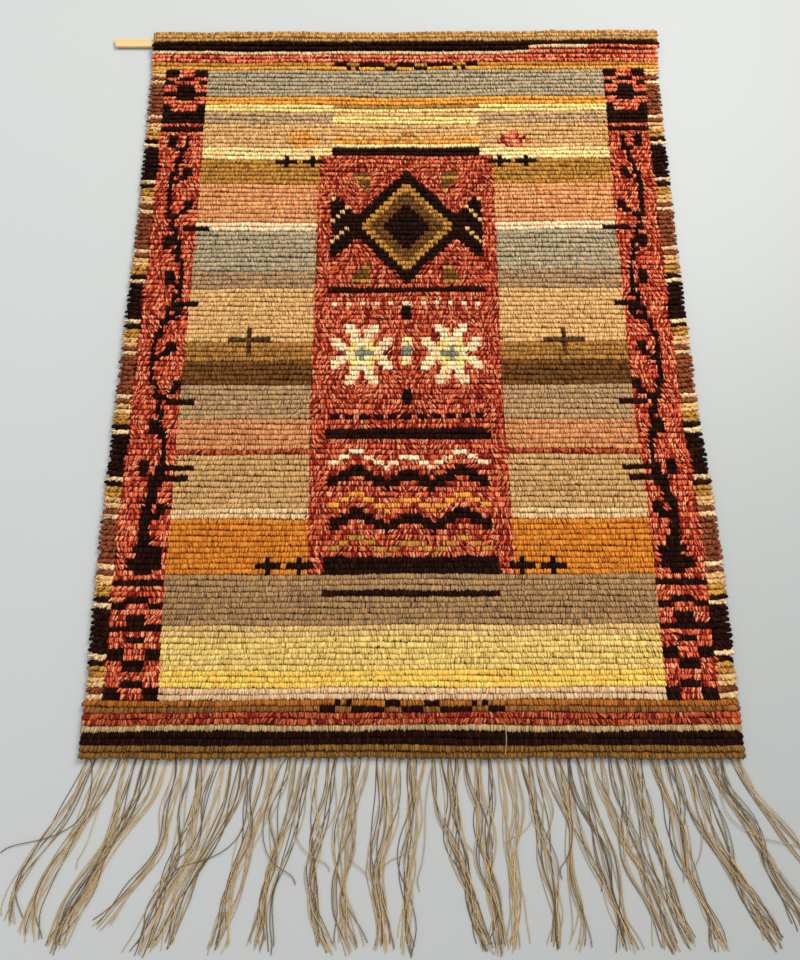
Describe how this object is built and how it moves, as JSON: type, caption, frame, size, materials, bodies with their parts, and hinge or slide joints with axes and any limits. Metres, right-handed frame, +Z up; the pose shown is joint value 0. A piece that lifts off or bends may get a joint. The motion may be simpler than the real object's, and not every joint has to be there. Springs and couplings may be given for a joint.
{
  "type": "rya rug with hanging slat",
  "caption": "Knotted wool rya rug laid flat, with ribbed pile rows, stepped side borders, a loose gathered thread fringe and a flat wooden slat in the top sleeve.",
  "frame": {"origin": "centre of the rug's underside, on the floor that it lies on", "axes": "+X to the right and +Y to the slat end as the rug is seen from above, +Z up out of the pile"},
  "size_m": [1.5974, 2.1823, 0.0238],
  "materials": {
    "rug_pile": "matt knotted wool",
    "fringe": "matt twisted linen",
    "slat": "planed pine"
  },
  "bodies": {
    "root": {"rug_pile": "rug_pile", "fringe": "fringe", "slat": "slat"}
  },
  "joints": []
}
